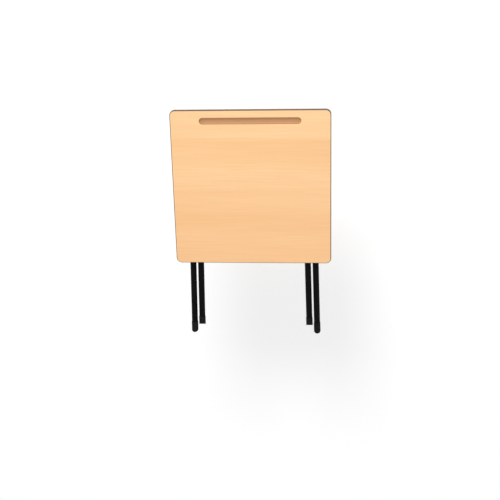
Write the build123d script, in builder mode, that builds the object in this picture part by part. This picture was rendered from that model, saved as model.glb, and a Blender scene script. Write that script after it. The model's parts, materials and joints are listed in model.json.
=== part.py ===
"""Folding exam desk, modelled folded flat with its working face up.

+X runs along the board's width, +Y towards the far edge with the pen groove, +Z out of the working face.
The origin is on the floor plane, in the middle of the folded desk's length and width.
All sizes are millimetres.
"""
import os
from math import asin, cos, degrees, pi, radians, sin, sqrt, tan

from build123d import *

os.makedirs("parts", exist_ok=True)

# ---- board ----
board_width = 600.0
board_depth = 600.0
core_thickness = 16.4
laminate_thickness = 0.8
corner_radius = 20.0
edge_round = 3.0
groove_length = 380.0
groove_width = 25.0
groove_depth = 9.0
groove_roundness = 0.9  # radius at the groove's floor, as a share of its depth in the core
groove_inset = 41.0  # far edge to the groove's centreline

# ---- leg frames ----
desk_height = 710.0  # working face above the floor, in use
tube_diameter = 24.0
tube_wall = 1.5
catch_inset = 98.0  # near edge to the inner top bar's axis, in use
foot_step = 23.0  # inner legs end this much sooner, folded
bar_gap = 4.5  # between the two top bars, folded
leg_gap = 6.3  # between an outer leg and the inner leg beside it
feet_spread = 490.0  # between the outer legs' centrelines at their ends
splay_angle = 1.1  # degrees, each leg leans outwards towards its foot
stretcher_drop = 280.0  # inner top bar to the inner stretcher, along the legs
stretcher_diameter = 19.0

# ---- feet and plugs ----
cap_wall = 1.0
cap_length = 34.0
cap_sole = 5.0
cap_edge_round = 0.6
plug_head = 2.0
plug_depth = 12.0
plug_edge_round = 1.2
bar_overhang = 1.0  # each top bar past the outside of its legs
cope_tip = 0.5  # the points of a coped leg stop this far short of the bar's axis

# ---- hinge saddles and catch hooks ----
hinge_inset = 95.0  # far edge to the hinge axis
strap_thickness = 2.0
hook_thickness = 2.8
saddle_width = 30.0
saddle_position = 150.0  # from the centreline
hook_width = 34.0
hook_position = 120.0
hook_lip = 9.0  # how far the lip runs past the bar's centreline
flange_length = 24.0
flange_corner = 6.0
running_gap = 0.3  # round any bar that turns or slides

# ---- screws and pivot hardware ----
screw_diameter = 3.5
screw_length = 12.0
screw_head_diameter = 7.5
screw_head_height = 2.2
screw_head_round = 1.3
screw_tip_length = 2.5
screw_tip_taper = 1.4
screw_spacing = 16.0
bolt_diameter = 8.0
bolt_head_diameter = 16.0
bolt_head_height = 4.5
bolt_head_round = 3.1
socket_size = 5.0
socket_depth = 2.5
washer_diameter = 17.0
washer_thickness = 1.5
bush_diameter = 12.0
nut_width = 13.0
nut_height = 6.5
nut_dome = 5.0
nut_dome_step = 0.5  # the dome is this much smaller in radius than the hexagon
nut_dome_round = 4.0
open_pivot_gap = 0.5  # between the bolt's end and the inner leg's bush

# ---- derived frame of the folded desk ----
same_height = 0.01  # edges closer than this in height are the same level
tube_radius = tube_diameter / 2
cap_radius = tube_radius + cap_wall
board_thickness = core_thickness + 2 * laminate_thickness
bar_drop = tube_radius + running_gap  # board underside to any bar's axis
underside_z = bar_drop + tube_radius + running_gap + hook_thickness
axis_z = underside_z - bar_drop
core_z = underside_z + laminate_thickness
core_top_z = core_z + core_thickness
groove_cut = groove_depth - laminate_thickness
groove_floor_z = core_top_z - groove_cut
face_z = core_top_z + laminate_thickness

# The open legs are two triangles that share the crossing pivot. The desk's height and the distance between
# its top bars fix how far the pivot is from the outer bar, and that fixes every other length along the legs.
bar_spacing = tube_diameter + bar_gap
above_share = bar_spacing / (bar_spacing + foot_step)
leg_height = desk_height - board_thickness - bar_drop
catch_distance = board_depth - hinge_inset - catch_inset
height_above = above_share * leg_height
stretch = sqrt(1 + 4 * height_above ** 2 / (catch_distance ** 2 - bar_spacing ** 2))
outer_above = (bar_spacing + catch_distance * stretch) / 2
outer_length = outer_above / above_share
inner_above = outer_above - bar_spacing
inner_length = outer_length - bar_spacing - foot_step
outer_turn = asin(leg_height / outer_length)
inner_turn = pi - asin(height_above / inner_above)

foot_reach = cap_radius / tan(outer_turn)
folded_length = hinge_inset + outer_length + foot_reach
far_y = folded_length / 2
board_y = far_y - board_depth / 2
hinge_y = far_y - hinge_inset
inner_bar_y = hinge_y - bar_spacing
pivot_y = hinge_y - outer_above
outer_foot_y = hinge_y - outer_length
inner_foot_y = inner_bar_y - inner_length
stretcher_y = inner_bar_y - stretcher_drop
catch_y = hinge_y - catch_distance
groove_y = far_y - groove_inset

leg_pitch = tube_diameter + leg_gap
splay = tan(radians(splay_angle))


def outer_x(y):
    """Distance of the outer legs' centrelines from the middle, at y on the folded desk."""
    return feet_spread / 2 - splay * (y - outer_foot_y)


def inner_x(y):
    """Distance of the inner legs' centrelines from the middle, at y on the folded desk."""
    return outer_x(y) - leg_pitch


def cross_plane(x, y, z=axis_z):
    """A plane facing +X, for everything that lies along the width."""
    return Plane(origin=(x, y, z), x_dir=(0, 1, 0), z_dir=(1, 0, 0))


def save(builder, name):
    """Labels a finished piece and writes it as its own node."""
    builder.part.label = name
    export_step(builder.part, f"parts/{name}.step")


# ---- board ----
def screw_rows():
    """Screw centres under the board as (x, y): two in each saddle flange and two in each hook flange."""
    saddle_y = hinge_y + bar_drop + strap_thickness + flange_length / 2
    hook_y = catch_y - bar_drop - hook_thickness - flange_length / 2
    saddle = [(side * saddle_position + step, saddle_y) for side in (-1, 1)
              for step in (-screw_spacing / 2, screw_spacing / 2)]
    hook = [(side * hook_position + step, hook_y) for side in (-1, 1)
            for step in (-screw_spacing / 2, screw_spacing / 2)]
    return saddle, hook


def screw_holes(points, bottom, top):
    """Cuts round holes for the screws' shanks between two heights, in the builder that is open."""
    with BuildSketch(Plane.XY.offset(bottom)) as shanks:
        with Locations(*points):
            Circle(screw_diameter / 2)
    extrude(shanks.sketch, amount=top - bottom, mode=Mode.SUBTRACT)


saddle_screws_at, hook_screws_at = screw_rows()

with BuildPart() as board_core:
    with BuildSketch(Plane.XY.offset(core_z)):
        with Locations((0, board_y)):
            RectangleRounded(board_width, board_depth, corner_radius)
    extrude(amount=core_thickness)
    rims = board_core.edges().group_by(Axis.Z)
    fillet(rims[-1], radius=edge_round)
    fillet(board_core.edges().group_by(Axis.Z)[0], radius=edge_round / 2)
    with BuildSketch(Plane.XY.offset(core_top_z)):
        with Locations((0, groove_y)):
            SlotOverall(groove_length, groove_width)
    extrude(amount=-groove_cut, mode=Mode.SUBTRACT)
    floor_edges = board_core.edges().filter_by(
        lambda e: abs(e.center().Z - groove_floor_z) < same_height and e.bounding_box().size.Z < same_height)
    fillet(floor_edges, radius=groove_roundness * groove_cut)
    screw_top = underside_z + screw_length - strap_thickness
    screw_holes(saddle_screws_at, core_z, screw_top)
    screw_holes(hook_screws_at, core_z, screw_top + strap_thickness - hook_thickness)
save(board_core, "board_core")

with BuildPart() as top_laminate:
    with BuildSketch(Plane.XY.offset(core_top_z)):
        with Locations((0, board_y)):
            RectangleRounded(board_width - 2 * edge_round, board_depth - 2 * edge_round,
                             corner_radius - edge_round)
        with Locations((0, groove_y)):
            SlotOverall(groove_length, groove_width, mode=Mode.SUBTRACT)
    extrude(amount=laminate_thickness)
save(top_laminate, "top_laminate")

with BuildPart() as backing_laminate:
    with BuildSketch(Plane.XY.offset(underside_z)):
        with Locations((0, board_y)):
            RectangleRounded(board_width - edge_round, board_depth - edge_round,
                             corner_radius - edge_round / 2)
    extrude(amount=laminate_thickness)
    screw_holes(saddle_screws_at + hook_screws_at, underside_z, core_z)
save(backing_laminate, "backing_laminate")


# ---- hinge saddles, catch hooks and their screws ----
def hinge_saddle(x, name):
    """A pressed strap, screwed down on the far side, that runs round the outer top bar."""
    inner = bar_drop
    outer = inner + strap_thickness
    with BuildPart() as saddle:
        with BuildSketch(cross_plane(x - saddle_width / 2, hinge_y)):
            Circle(outer)
            with Locations((0, bar_drop / 2)):
                Rectangle(2 * outer, bar_drop)
            Circle(inner, mode=Mode.SUBTRACT)
            with Locations((0, bar_drop / 2)):
                Rectangle(2 * inner, bar_drop, mode=Mode.SUBTRACT)
            with Locations((0, bar_drop + outer)):
                Rectangle(4 * outer, 2 * outer, mode=Mode.SUBTRACT)
            with Locations((outer + flange_length / 2, bar_drop - strap_thickness / 2)):
                Rectangle(flange_length, strap_thickness)
        extrude(amount=saddle_width)
        far_corners = saddle.edges().filter_by(Axis.Z).group_by(Axis.Y)[-1]
        fillet(far_corners, radius=flange_corner)
        screw_holes(saddle_screws_at, underside_z - strap_thickness, underside_z)
    save(saddle, name)


def catch_hook(x, name):
    """A J-shaped hook: the inner top bar slides in from the far side and bears on its closed near side."""
    inner = bar_drop
    outer = inner + hook_thickness
    flange_end = -(outer + flange_length)
    flange_start = -inner / 2
    with BuildPart() as hook:
        with BuildSketch(cross_plane(x - hook_width / 2, catch_y)):
            Circle(outer)
            Circle(inner, mode=Mode.SUBTRACT)
            with Locations((outer, 0)):
                Rectangle(2 * outer, 4 * outer, mode=Mode.SUBTRACT)
            with Locations((0, bar_drop + outer)):
                Rectangle(4 * outer, 2 * outer, mode=Mode.SUBTRACT)
            with Locations((hook_lip / 2, -(inner + hook_thickness / 2))):
                Rectangle(hook_lip, hook_thickness)
            with Locations(((flange_end + flange_start) / 2, bar_drop - hook_thickness / 2)):
                Rectangle(flange_start - flange_end, hook_thickness)
            Circle(inner, mode=Mode.SUBTRACT)
        extrude(amount=hook_width)
        near_corners = hook.edges().filter_by(Axis.Z).group_by(Axis.Y)[0]
        fillet(near_corners, radius=flange_corner)
        screw_holes(hook_screws_at, underside_z - hook_thickness, underside_z)
    save(hook, name)


def wood_screws(points, strap, name):
    """Pan-head screws through a strap into the board, one solid each."""
    head_z = underside_z - strap
    with BuildPart() as screws:
        with BuildSketch(Plane.XY.offset(head_z)):
            with Locations(*points):
                Circle(screw_diameter / 2)
        extrude(amount=screw_length)
        chamfer(screws.edges().group_by(Axis.Z)[-1], length=screw_tip_length, length2=screw_tip_taper)
        with BuildSketch(Plane.XY.offset(head_z - screw_head_height)):
            with Locations(*points):
                Circle(screw_head_diameter / 2)
        extrude(amount=screw_head_height)
        fillet(screws.edges().group_by(Axis.Z)[0], radius=screw_head_round)
    save(screws, name)


for side, word in ((-1, "left"), (1, "right")):
    hinge_saddle(side * saddle_position, f"{word}_hinge_saddle")
    catch_hook(side * hook_position, f"{word}_catch_hook")
wood_screws(saddle_screws_at, strap_thickness, "saddle_screws")
wood_screws(hook_screws_at, hook_thickness, "hook_screws")


# ---- tubes ----
def cross_tube(half_length, y, diameter, name):
    """A straight tube along the width."""
    with BuildPart() as tube:
        with BuildSketch(cross_plane(-half_length, y)):
            Circle(diameter / 2)
            Circle(diameter / 2 - tube_wall, mode=Mode.SUBTRACT)
        extrude(amount=2 * half_length)
    save(tube, name)


def leg_plane(side, x_at, y):
    """A plane at y on a leg's centreline, facing along the leg towards its foot."""
    return Plane(origin=(side * x_at(y), y, axis_z), x_dir=(0, 0, 1), z_dir=(side * splay, -1, 0))


def along(length):
    """A length along Y, measured along the splayed leg."""
    return length / cos(radians(splay_angle))


def tube_end(foot_y, turn):
    """Where a leg's tube ends inside its foot cap: a sole's thickness above the slanted end."""
    return foot_y + cap_sole + tube_radius / abs(tan(turn))


def leg_tube(side, x_at, bar_y, foot_y, turn, cope_gap, hole, name, stretcher_hole=0.0):
    """One leg: coped to its top bar, drilled for the pivot, cut square inside its foot cap."""
    start_y = bar_y - cope_tip
    length = along(start_y - tube_end(foot_y, turn))
    with BuildPart() as leg:
        with BuildSketch(leg_plane(side, x_at, start_y)):
            Circle(tube_radius)
            Circle(tube_radius - tube_wall, mode=Mode.SUBTRACT)
        extrude(amount=length)
        with BuildSketch(cross_plane(0, bar_y)):
            Circle(tube_radius + cope_gap)
        extrude(amount=side * board_width, mode=Mode.SUBTRACT)
        with BuildSketch(cross_plane(0, pivot_y)):
            Circle(hole / 2)
        extrude(amount=side * board_width, mode=Mode.SUBTRACT)
        if stretcher_hole > 0:
            with BuildSketch(cross_plane(0, stretcher_y)):
                Circle(stretcher_hole / 2)
            extrude(amount=side * x_at(stretcher_y), mode=Mode.SUBTRACT)
    save(leg, name)


def foot_cap(side, x_at, foot_y, turn, name):
    """A rubber cap over the tube's end, its sole slanted to lie flat on the floor when the legs are open."""
    top_y = foot_y + cap_length
    end = along(cap_length + 2 * cap_radius)
    floor_normal = (0, -sin(turn), -cos(turn))
    with BuildPart() as cap:
        with BuildSketch(leg_plane(side, x_at, top_y)):
            Circle(cap_radius)
        extrude(amount=end)
        split(bisect_by=Plane(origin=(side * x_at(foot_y), foot_y, axis_z), z_dir=floor_normal),
              keep=Keep.BOTTOM)
        top_edge = cap.edges().sort_by(Axis.Y)[-1]
        fillet(top_edge, radius=cap_edge_round)
        with BuildSketch(leg_plane(side, x_at, top_y)):
            Circle(tube_radius)
        extrude(amount=along(top_y - tube_end(foot_y, turn)), mode=Mode.SUBTRACT)
    save(cap, name)


def bar_plugs(half_length, y, name):
    """Two plastic plugs, pushed into the open ends of a top bar."""
    with BuildPart() as plugs:
        for side in (-1, 1):
            with BuildSketch(cross_plane(side * half_length, y)):
                Circle(tube_radius)
            extrude(amount=side * plug_head)
            with BuildSketch(cross_plane(side * half_length, y)):
                Circle(tube_radius - tube_wall)
            extrude(amount=-side * plug_depth)
        ends = plugs.edges().group_by(Axis.X)
        fillet(ends[0] + ends[-1], radius=plug_edge_round)
    save(plugs, name)


outer_bar_half = outer_x(hinge_y) + tube_radius + bar_overhang
inner_bar_half = inner_x(inner_bar_y) + tube_radius + bar_overhang
cross_tube(outer_bar_half, hinge_y, tube_diameter, "outer_top_bar")
cross_tube(inner_bar_half, inner_bar_y, tube_diameter, "inner_top_bar")
bar_plugs(outer_bar_half, hinge_y, "outer_bar_plugs")
bar_plugs(inner_bar_half, inner_bar_y, "inner_bar_plugs")
cross_tube(inner_x(stretcher_y) - tube_radius + tube_wall, stretcher_y, stretcher_diameter,
           "inner_stretcher")
for side, word in ((-1, "left"), (1, "right")):
    leg_tube(side, outer_x, hinge_y, outer_foot_y, outer_turn, 0.0, bolt_diameter, f"outer_{word}_leg")
    leg_tube(side, inner_x, inner_bar_y, inner_foot_y, inner_turn, running_gap, bush_diameter,
             f"inner_{word}_leg", stretcher_hole=stretcher_diameter)
    foot_cap(side, outer_x, outer_foot_y, outer_turn, f"outer_{word}_foot")
    foot_cap(side, inner_x, inner_foot_y, inner_turn, f"inner_{word}_foot")


# ---- pivot hardware, along X from outside to inside ----
pivot_outer_x = outer_x(pivot_y)
pivot_inner_x = inner_x(pivot_y)
bolt_under_head = pivot_outer_x + tube_radius + washer_thickness
spacer_from = pivot_inner_x + tube_radius + open_pivot_gap
spacer_to = pivot_outer_x - tube_radius


def ring(side, x_from, x_to, outer_d, inner_d):
    """A ring round the pivot axis, from one distance off the middle to another, in the open builder."""
    with BuildSketch(cross_plane(side * x_from, pivot_y)) as profile:
        Circle(outer_d / 2)
        if inner_d > 0:
            Circle(inner_d / 2, mode=Mode.SUBTRACT)
    extrude(profile.sketch, amount=side * (x_to - x_from))


def pivot_bolt(side, name):
    """A dome-head bolt through the outer leg and its spacer, ending just short of the inner leg."""
    with BuildPart() as bolt:
        ring(side, spacer_from, bolt_under_head, bolt_diameter, 0)
        ring(side, bolt_under_head, bolt_under_head + bolt_head_height, bolt_head_diameter, 0)
        ends = bolt.edges().group_by(Axis.X)
        fillet(ends[-1] if side > 0 else ends[0], radius=bolt_head_round)
        with BuildSketch(cross_plane(side * (bolt_under_head + bolt_head_height), pivot_y)):
            RegularPolygon(socket_size / 2, 6, major_radius=False)
        extrude(amount=-side * socket_depth, mode=Mode.SUBTRACT)
    save(bolt, name)


def saddle_washer(side, name):
    """A washer shaped to the outer leg: flat under the bolt head, hollow against the tube."""
    with BuildPart() as washer:
        ring(side, pivot_outer_x, bolt_under_head, washer_diameter, bolt_diameter)
        with BuildSketch(leg_plane(side, outer_x, pivot_y + washer_diameter)):
            Circle(tube_radius)
        extrude(amount=3 * washer_diameter, mode=Mode.SUBTRACT)
    save(washer, name)


def pivot_spacer(side, name):
    """A nylon spacer that keeps the legs apart: hollow against the outer leg, flat towards the inner one."""
    with BuildPart() as spacer:
        ring(side, spacer_from, pivot_outer_x, washer_diameter, bolt_diameter)
        with BuildSketch(leg_plane(side, outer_x, pivot_y + washer_diameter)):
            Circle(tube_radius)
        extrude(amount=3 * washer_diameter, mode=Mode.SUBTRACT)
    save(spacer, name)


def pivot_bush(side, name):
    """A steel bush across the inner leg, bored for the bolt."""
    with BuildPart() as bush:
        ring(side, pivot_inner_x - tube_radius, pivot_inner_x + tube_radius, bush_diameter, bolt_diameter)
    save(bush, name)


def cap_nut(side, name):
    """A domed nut on the inner face of the inner leg, where the bolt ends."""
    nut_from = pivot_inner_x - tube_radius - splay * nut_width - nut_height
    with BuildPart() as nut:
        with BuildSketch(cross_plane(side * nut_from, pivot_y)):
            RegularPolygon(nut_width / 2, 6, major_radius=False)
            Circle(bolt_diameter / 2, mode=Mode.SUBTRACT)
        extrude(amount=side * nut_height)
        with BuildSketch(cross_plane(side * nut_from, pivot_y)):
            Circle(nut_width / 2 - nut_dome_step)
        extrude(amount=-side * nut_dome)
        ends = nut.edges().group_by(Axis.X)
        fillet(ends[0] if side > 0 else ends[-1], radius=nut_dome_round)
    save(nut, name)


for side, word in ((-1, "left"), (1, "right")):
    pivot_bolt(side, f"{word}_pivot_bolt")
    saddle_washer(side, f"{word}_pivot_washer")
    pivot_spacer(side, f"{word}_pivot_spacer")
    pivot_bush(side, f"{word}_pivot_bush")
    cap_nut(side, f"{word}_cap_nut")

# ---- derived values that the record repeats ----
print("outer turn", round(degrees(outer_turn), 4), "inner turn", round(degrees(inner_turn), 4))
print("inner bar slide", round(catch_distance - bar_spacing, 3))
print("axis z", round(axis_z, 3), "face z", round(face_z, 3))
print("hinge y", round(hinge_y, 3), "inner bar y", round(inner_bar_y, 3), "catch y", round(catch_y, 3))
print("groove y", round(groove_y, 3), "folded length", round(folded_length, 3))
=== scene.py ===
"""Looks for the folding exam desk: procedural materials, weld beads, studio and camera."""
import json
import math

import bmesh
import bpy
from mathutils import Matrix, Vector


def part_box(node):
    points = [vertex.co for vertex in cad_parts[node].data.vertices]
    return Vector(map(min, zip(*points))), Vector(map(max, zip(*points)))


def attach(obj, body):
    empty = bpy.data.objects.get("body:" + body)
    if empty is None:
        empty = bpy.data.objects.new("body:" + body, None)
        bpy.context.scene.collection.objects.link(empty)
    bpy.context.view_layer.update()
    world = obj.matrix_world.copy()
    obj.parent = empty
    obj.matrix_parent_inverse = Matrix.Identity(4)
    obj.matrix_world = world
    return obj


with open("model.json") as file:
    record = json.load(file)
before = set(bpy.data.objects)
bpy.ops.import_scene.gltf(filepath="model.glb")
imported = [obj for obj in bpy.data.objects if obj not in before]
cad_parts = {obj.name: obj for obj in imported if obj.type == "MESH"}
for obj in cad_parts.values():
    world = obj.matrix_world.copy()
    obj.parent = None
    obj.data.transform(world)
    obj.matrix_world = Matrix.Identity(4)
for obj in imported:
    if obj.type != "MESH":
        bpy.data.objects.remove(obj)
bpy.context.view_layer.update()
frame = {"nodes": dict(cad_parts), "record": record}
nodes = frame["nodes"]


# ---- small helpers for node materials ----
BEVEL_SAMPLES = 4
FLAT_DOT = 0.99  # rounded and real normals agree: not an edge
EDGE_DOT = 0.85  # they lean apart: fully worn


class Paint:
    """One material's node tree, with short calls for the nodes that it is made of."""

    def __init__(self, name):
        self.material = bpy.data.materials.new(name)
        self.material.use_nodes = True
        self.tree = self.material.node_tree
        self.shader = self.tree.nodes["Principled BSDF"]
        self.coords = self.tree.nodes.new("ShaderNodeTexCoord").outputs["Object"]

    def link(self, source, target):
        self.tree.links.new(source, target)

    def stretched(self, scale):
        """Object coordinates, scaled along each axis, so that a pattern can run with the grain."""
        node = self.tree.nodes.new("ShaderNodeMapping")
        node.inputs["Scale"].default_value = scale
        self.link(self.coords, node.inputs["Vector"])
        return node.outputs["Vector"]

    def noise(self, scale, detail=4.0, roughness=0.55, stretch=(1, 1, 1), distortion=0.0):
        node = self.tree.nodes.new("ShaderNodeTexNoise")
        node.inputs["Scale"].default_value = scale
        node.inputs["Detail"].default_value = detail
        node.inputs["Roughness"].default_value = roughness
        node.inputs["Distortion"].default_value = distortion
        self.link(self.stretched(stretch), node.inputs["Vector"])
        return node.outputs["Fac"]

    def ramp(self, factor, stops):
        """Colours along a factor: stops are (place, colour)."""
        node = self.tree.nodes.new("ShaderNodeValToRGB")
        elements = node.color_ramp.elements
        while len(elements) < len(stops):
            elements.new(0.5)
        for element, (place, colour) in zip(elements, stops):
            element.position = place
            element.color = (*colour, 1)
        self.link(factor, node.inputs["Fac"])
        return node.outputs["Color"]

    def span(self, value, low, high, to_low=0.0, to_high=1.0):
        """Maps a value from one range onto another, clamped."""
        node = self.tree.nodes.new("ShaderNodeMapRange")
        node.inputs["From Min"].default_value = low
        node.inputs["From Max"].default_value = high
        node.inputs["To Min"].default_value = to_low
        node.inputs["To Max"].default_value = to_high
        self.link(value, node.inputs["Value"])
        return node.outputs["Result"]

    def math(self, operation, first, second=None):
        """One arithmetic step on sockets or numbers."""
        node = self.tree.nodes.new("ShaderNodeMath")
        node.operation = operation
        for socket, value in zip(node.inputs, (first, second)):
            if value is None:
                continue
            if isinstance(value, (int, float)):
                socket.default_value = value
            else:
                self.link(value, socket)
        return node.outputs[0]

    def blend(self, factor, first, second):
        """Mixes two colours by a factor, which may be a number."""
        node = self.tree.nodes.new("ShaderNodeMix")
        node.data_type = "RGBA"
        sockets = [s for s in node.inputs if s.name in ("Factor", "A", "B") and s.enabled]
        for socket, value in zip(sockets, (factor, first, second)):
            if isinstance(value, (int, float)):
                socket.default_value = value
            elif isinstance(value, tuple):
                socket.default_value = (*value, 1)
            else:
                self.link(value, socket)
        return [s for s in node.outputs if s.enabled][0]

    def place(self, axis):
        """The object coordinate along one axis."""
        node = self.tree.nodes.new("ShaderNodeSeparateXYZ")
        self.link(self.coords, node.inputs[0])
        return node.outputs[axis]

    def worn_edges(self, radius):
        """1 on an outer edge and 0 elsewhere, from how far a rounded normal leans from the real one."""
        bevel = self.tree.nodes.new("ShaderNodeBevel")
        bevel.samples = BEVEL_SAMPLES
        bevel.inputs["Radius"].default_value = radius
        geometry = self.tree.nodes.new("ShaderNodeNewGeometry")
        dot = self.tree.nodes.new("ShaderNodeVectorMath")
        dot.operation = "DOT_PRODUCT"
        self.link(bevel.outputs["Normal"], dot.inputs[0])
        self.link(geometry.outputs["Normal"], dot.inputs[1])
        return self.span(dot.outputs["Value"], FLAT_DOT, EDGE_DOT)

    def bump(self, height, distance, strength=1.0):
        node = self.tree.nodes.new("ShaderNodeBump")
        node.inputs["Distance"].default_value = distance
        node.inputs["Strength"].default_value = strength
        self.link(height, node.inputs["Height"])
        self.link(node.outputs["Normal"], self.shader.inputs["Normal"])

    def colour(self, source):
        self.link(source, self.shader.inputs["Base Color"])

    def roughness(self, source):
        self.link(source, self.shader.inputs["Roughness"])

    def plain(self, **sockets):
        """Sets shader sockets that are the same all over the surface."""
        for name, value in sockets.items():
            self.shader.inputs[name.replace("_", " ")].default_value = value


# ---- materials ----
# The core shows only at the board's edge and in the pen groove. The groove lies inside this share of the
# width each side of the middle, and between these shares of the depth from the near edge.
GROOVE_REACH = 0.35
GROOVE_BAND_FROM = 0.86
GROOVE_BAND_TO = 0.98


def beech_laminate():
    """Pale beech-pattern laminate: soft bands and fine streaks along the width, with short beech flecks."""
    paint = Paint("beech_laminate_look")
    bands = paint.noise(2.2, 4, 0.5, stretch=(0.22, 3.2, 1), distortion=0.35)
    streaks = paint.noise(1.0, 6, 0.65, stretch=(5, 230, 5))
    flecks = paint.noise(1.0, 2, 0.5, stretch=(130, 900, 40))
    low, high = (Vector(corner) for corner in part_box("top_laminate"))
    base = paint.ramp(bands, [(0.28, (0.755, 0.445, 0.210)), (0.45, (0.800, 0.500, 0.250)),
                              (0.58, (0.840, 0.565, 0.305)), (0.75, (0.775, 0.470, 0.230))])
    # Painted shade: the face is blended darker and redder towards the near edge, in place of the light
    # falling off away from the key.
    painted_shade_to_near_edge = paint.span(paint.place("Y"), low.y, high.y, 0.7, 0.0)
    base = paint.blend(painted_shade_to_near_edge, base, (0.795, 0.458, 0.220))
    streaked = paint.blend(paint.span(streaks, 0.35, 0.72, 0.0, 0.40), base, (0.70, 0.37, 0.165))
    flecked = paint.blend(paint.span(flecks, 0.66, 0.76, 0.0, 0.38), streaked, (0.55, 0.25, 0.10))
    paint.colour(flecked)
    paint.roughness(paint.span(streaks, 0.3, 0.7, 0.36, 0.48))
    paint.bump(streaks, 0.00006, 0.5)
    paint.plain(Specular_IOR_Level=0.35)
    return paint.material


def board_core():
    """Fibreboard: a sealed dark brown edge all round, and bare tan board inside the pen groove, darkened
    there as painted shade in the recess.
    """
    paint = Paint("board_core_look")
    low, high = (Vector(corner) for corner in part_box("top_laminate"))
    groove_half_length = (high.x - low.x) * GROOVE_REACH
    groove_near = low.y + (high.y - low.y) * GROOVE_BAND_FROM
    groove_far = low.y + (high.y - low.y) * GROOVE_BAND_TO
    fibres = paint.noise(1.0, 5, 0.7, stretch=(420, 420, 420))
    cloud = paint.noise(14, 3)
    edge = paint.ramp(cloud, [(0.3, (0.070, 0.036, 0.018)), (0.7, (0.125, 0.068, 0.034))])
    edge = paint.blend(paint.math("MULTIPLY", paint.worn_edges(0.0015), 0.5), edge, (0.26, 0.15, 0.08))
    # Painted shade: the groove's tan is the bare board's own colour, made darker than it is so that the
    # recess reads as shaded.
    groove = paint.ramp(fibres, [(0.3, (0.42, 0.205, 0.083)), (0.7, (0.53, 0.275, 0.122))])
    across = paint.math("LESS_THAN", paint.math("ABSOLUTE", paint.place("X")), groove_half_length)
    along = paint.math("GREATER_THAN", paint.place("Y"), groove_near)
    inside = paint.math("LESS_THAN", paint.place("Y"), groove_far)
    mask = paint.math("MULTIPLY", across, paint.math("MULTIPLY", along, inside))
    paint.colour(paint.blend(mask, edge, groove))
    paint.roughness(paint.span(cloud, 0.3, 0.7, 0.42, 0.58))
    paint.bump(fibres, 0.00012, 0.5)
    return paint.material


def backing_laminate():
    """Plain buff balancing sheet with a faint mottle and long, soft scuffs."""
    paint = Paint("backing_laminate_look")
    mottle = paint.noise(9, 4, 0.6)
    scuffs = paint.noise(1.0, 3, 0.6, stretch=(6, 60, 6), distortion=1.2)
    base = paint.ramp(mottle, [(0.3, (0.50, 0.40, 0.29)), (0.7, (0.58, 0.48, 0.36))])
    scuffed = paint.blend(paint.span(scuffs, 0.64, 0.74, 0.0, 0.35), base, (0.68, 0.60, 0.50))
    paint.colour(scuffed)
    paint.roughness(paint.span(mottle, 0.3, 0.7, 0.55, 0.68))
    paint.bump(paint.noise(900, 2), 0.00004, 0.5)
    return paint.material


def powder_coat():
    """Semi-gloss black powder coat with a fine orange peel and a few pale scuffs."""
    paint = Paint("powder_coat_look")
    peel = paint.noise(900, 2, 0.5)
    tone = paint.noise(30, 3)
    scuffs = paint.noise(1.0, 4, 0.7, stretch=(90, 22, 90), distortion=0.8)
    base = paint.ramp(tone, [(0.3, (0.0020, 0.0020, 0.0021)), (0.7, (0.0034, 0.0034, 0.0035))])
    scuffed = paint.blend(paint.span(scuffs, 0.72, 0.80, 0.0, 0.35), base, (0.018, 0.0175, 0.017))
    paint.colour(scuffed)
    paint.roughness(paint.span(scuffs, 0.4, 0.8, 0.34, 0.55))
    paint.bump(peel, 0.00006, 0.35)
    paint.plain(Specular_IOR_Level=0.05)
    return paint.material


def foot_rubber():
    """Dull black rubber, greyer where it rubs the floor."""
    paint = Paint("foot_rubber_look")
    grain = paint.noise(700, 3, 0.6)
    dust = paint.noise(60, 4, 0.6)
    base = paint.ramp(dust, [(0.35, (0.0055, 0.0055, 0.0052)), (0.75, (0.012, 0.012, 0.011))])
    rubbed = paint.blend(paint.math("MULTIPLY", paint.worn_edges(0.0012), 0.5), base, (0.030, 0.029, 0.027))
    paint.colour(rubbed)
    paint.roughness(paint.span(dust, 0.3, 0.7, 0.66, 0.82))
    paint.bump(grain, 0.00008, 0.5)
    paint.plain(Specular_IOR_Level=0.08)
    return paint.material


def black_plastic():
    """Moulded black plastic with a fine spark-eroded texture."""
    paint = Paint("black_plastic_look")
    grain = paint.noise(1500, 2, 0.5)
    tone = paint.noise(45, 3)
    paint.colour(paint.ramp(tone, [(0.3, (0.009, 0.009, 0.009)), (0.7, (0.015, 0.015, 0.016))]))
    paint.roughness(paint.span(tone, 0.3, 0.7, 0.46, 0.6))
    paint.bump(grain, 0.00004, 0.5)
    paint.plain(Specular_IOR_Level=0.3)
    return paint.material


def zinc_steel():
    """Bright zinc plate: faint crystals, drawn lines, and brighter worn edges."""
    paint = Paint("zinc_steel_look")
    crystals = paint.noise(160, 3, 0.6)
    lines = paint.noise(1.0, 3, 0.6, stretch=(40, 900, 900))
    base = paint.ramp(crystals, [(0.3, (0.44, 0.44, 0.43)), (0.7, (0.58, 0.58, 0.56))])
    worn = paint.blend(paint.math("MULTIPLY", paint.worn_edges(0.0006), 0.6), base, (0.78, 0.77, 0.74))
    paint.colour(worn)
    paint.roughness(paint.span(lines, 0.3, 0.7, 0.26, 0.42))
    paint.bump(lines, 0.00003, 0.4)
    paint.plain(Metallic=1.0)
    return paint.material


looks = {
    "beech_laminate": beech_laminate(),
    "brown_mdf": board_core(),
    "backing_laminate": backing_laminate(),
    "black_powder_coat": powder_coat(),
    "foot_rubber": foot_rubber(),
    "black_plastic": black_plastic(),
    "zinc_steel": zinc_steel(),
}

for part in frame["record"]["subparts"]:
    cad_piece = nodes[part["node"]]
    cad_piece.data.materials.clear()
    cad_piece.data.materials.append(looks[part["material_slot"]])


# ---- weld beads where each leg meets its top bar ----
BEAD_RADIUS = 0.0013
BEAD_STEPS = 48
BEAD_SIDES = 8
BEAD_RIPPLE = 0.00022
BEAD_RIPPLE_TURN = 1.9  # radians of ripple per step
BEAD_END_TAPER = 0.45


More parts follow.
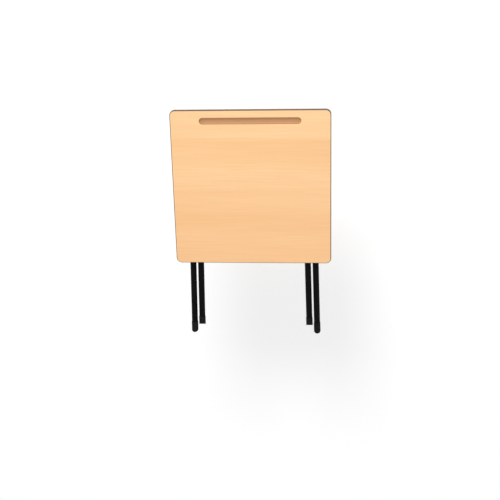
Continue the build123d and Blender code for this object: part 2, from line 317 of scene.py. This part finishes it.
def bead_points(leg, bar, tube_radius, side, start, stop):
    """Points along the seam of two equal tubes that meet square, from one angle round the leg to another."""
    bar_low, bar_high = (Vector(corner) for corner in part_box(bar))
    leg_low, leg_high = (Vector(corner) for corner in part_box(leg))
    centre_y = (bar_low.y + bar_high.y) / 2
    centre_z = (bar_low.z + bar_high.z) / 2
    inner_side = leg_low.x if side > 0 else leg_high.x
    centre_x = inner_side + side * tube_radius
    points = []
    for step in range(BEAD_STEPS + 1):
        angle = start + (stop - start) * step / BEAD_STEPS
        across = tube_radius * math.cos(angle)
        up = tube_radius * math.sin(angle)
        away = math.sqrt(max(tube_radius ** 2 - up ** 2, 0.0))
        points.append(Vector((centre_x + across, centre_y - away, centre_z + up)))
    return points


def bead_mesh(name, lines):
    """A rippled bead swept along each line of points, closed at both ends."""
    mesh = bmesh.new()
    for points in lines:
        rings = []
        for place, point in enumerate(points):
            ahead = points[min(place + 1, len(points) - 1)]
            behind = points[max(place - 1, 0)]
            along = (ahead - behind).normalized()
            first = along.orthogonal().normalized()
            second = along.cross(first)
            radius = BEAD_RADIUS + BEAD_RIPPLE * math.sin(place * BEAD_RIPPLE_TURN)
            if place in (0, len(points) - 1):
                radius *= BEAD_END_TAPER
            ring = []
            for turn in range(BEAD_SIDES):
                angle = 2 * math.pi * turn / BEAD_SIDES
                ring.append(mesh.verts.new(
                    point + radius * (math.cos(angle) * first + math.sin(angle) * second)))
            rings.append(ring)
        for lower, upper in zip(rings, rings[1:]):
            shift = min(range(BEAD_SIDES), key=lambda s: (upper[s].co - lower[0].co).length)
            for turn in range(BEAD_SIDES):
                mesh.faces.new((
                    lower[turn],
                    lower[(turn + 1) % BEAD_SIDES],
                    upper[(turn + 1 + shift) % BEAD_SIDES],
                    upper[(turn + shift) % BEAD_SIDES],
                ))
        mesh.faces.new(list(reversed(rings[0])))
        mesh.faces.new(rings[-1])
    bmesh.ops.recalc_face_normals(mesh, faces=mesh.faces[:])
    data = bpy.data.meshes.new(name)
    mesh.to_mesh(data)
    mesh.free()
    for face in data.polygons:
        face.use_smooth = True
    data.materials.append(looks["black_powder_coat"])
    piece = bpy.data.objects.new(name, data)
    bpy.context.scene.collection.objects.link(piece)
    return piece


bar_low, bar_high = (Vector(corner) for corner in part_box("outer_top_bar"))
tube_radius = (bar_high.z - bar_low.z) / 2
SEAM_HALF_ANGLE = math.radians(62)
for kind in ("outer", "inner"):
    seams = []
    for side, word in ((-1, "left"), (1, "right")):
        for middle in (0.0, math.pi):
            seams.append(bead_points(f"{kind}_{word}_leg", f"{kind}_top_bar", tube_radius, side,
                                     middle - SEAM_HALF_ANGLE, middle + SEAM_HALF_ANGLE))
    beads = bead_mesh(f"{kind}_weld_beads", seams)
    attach(beads, f"{kind}_frame")


# ---- floor, at the level that the desk stands on when it is open ----
board_low, board_high = (Vector(corner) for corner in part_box("top_laminate"))
DESK_HEIGHT = 0.710
FLOOR_HALF = 30.0
FLOOR_GAP = 0.0006  # keeps the open desk's soles just clear of the sheet
floor_z = board_high.z - DESK_HEIGHT - FLOOR_GAP


def floor_material():
    """Matt white studio floor with the faintest mottle."""
    paint = Paint("studio_floor_look")
    mottle = paint.noise(0.8, 2)
    paint.colour(paint.ramp(mottle, [(0.3, (0.955, 0.955, 0.955)), (0.7, (0.975, 0.975, 0.975))]))
    paint.plain(Roughness=0.9, Specular_IOR_Level=0.1)
    return paint.material


def flat_sheet(name, half, z):
    """A square sheet, level, from its half width and its height."""
    mesh = bmesh.new()
    corners = [mesh.verts.new((x * half, y * half, z)) for x, y in ((-1, -1), (1, -1), (1, 1), (-1, 1))]
    mesh.faces.new(corners)
    data = bpy.data.meshes.new(name)
    mesh.to_mesh(data)
    mesh.free()
    sheet = bpy.data.objects.new(name, data)
    bpy.context.scene.collection.objects.link(sheet)
    return sheet


floor = flat_sheet("studio_floor", FLOOR_HALF, floor_z)
floor.data.materials.append(floor_material())


# ---- studio light ----
def soft_light(name, location, target, size, power):
    """A round area light that faces a target."""
    data = bpy.data.lights.new(name, "AREA")
    data.shape = "DISK"
    data.size = size
    data.energy = power
    light = bpy.data.objects.new(name, data)
    light.location = location
    light.rotation_euler = (Vector(target) - Vector(location)).to_track_quat("-Z", "Y").to_euler()
    bpy.context.scene.collection.objects.link(light)


# The key light comes from beyond the far edge, so that the groove's far wall is the darker one.
KEY_FROM_BOARD = Vector((-0.5, 3.2, 2.6))
KEY_SIZE = 1.6
KEY_WATTS = 86
FILL_FROM_BOARD = Vector((1.2, -1.8, 3.4))
FILL_SIZE = 3.0
FILL_WATTS = 5
WORLD_STRENGTH = 0.905

board_centre = Vector((0.0, (board_low.y + board_high.y) / 2, board_high.z))
soft_light("key_light", board_centre + KEY_FROM_BOARD, board_centre, KEY_SIZE, KEY_WATTS)
soft_light("fill_light", board_centre + FILL_FROM_BOARD, board_centre, FILL_SIZE, FILL_WATTS)

world = bpy.data.worlds.new("studio_world")
world.use_nodes = True
world.node_tree.nodes["Background"].inputs["Color"].default_value = (1.0, 1.0, 1.0, 1)
world.node_tree.nodes["Background"].inputs["Strength"].default_value = WORLD_STRENGTH
bpy.context.scene.world = world
bpy.context.scene.view_settings.view_transform = "Standard"
bpy.context.scene.view_settings.look = "None"


# ---- camera, looking down on the working face of the folded desk ----
VIEW_TILT = math.radians(19.58)
VIEW_TURN = math.radians(-5.18)
VIEW_ROLL = math.radians(-0.28)
BOARD_FROM_CAMERA = Vector((0.0058, 0.2319, -3.774))
LENS_MM = 72.0
SENSOR_MM = 36.0
VIEW_DEPTH = 100.0

turned = (Matrix.Rotation(VIEW_ROLL, 3, "Z") @ Matrix.Rotation(VIEW_TURN, 3, "Y")
          @ Matrix.Rotation(VIEW_TILT, 3, "X"))
camera_data = bpy.data.cameras.new("camera")
camera_data.lens = LENS_MM
camera_data.sensor_width = SENSOR_MM
camera_data.clip_end = VIEW_DEPTH
camera = bpy.data.objects.new("camera", camera_data)
to_world = turned.transposed()
camera.matrix_world = Matrix.LocRotScale(
    board_centre - to_world @ BOARD_FROM_CAMERA, to_world.to_quaternion(), None)
bpy.context.scene.collection.objects.link(camera)
bpy.context.scene.camera = camera
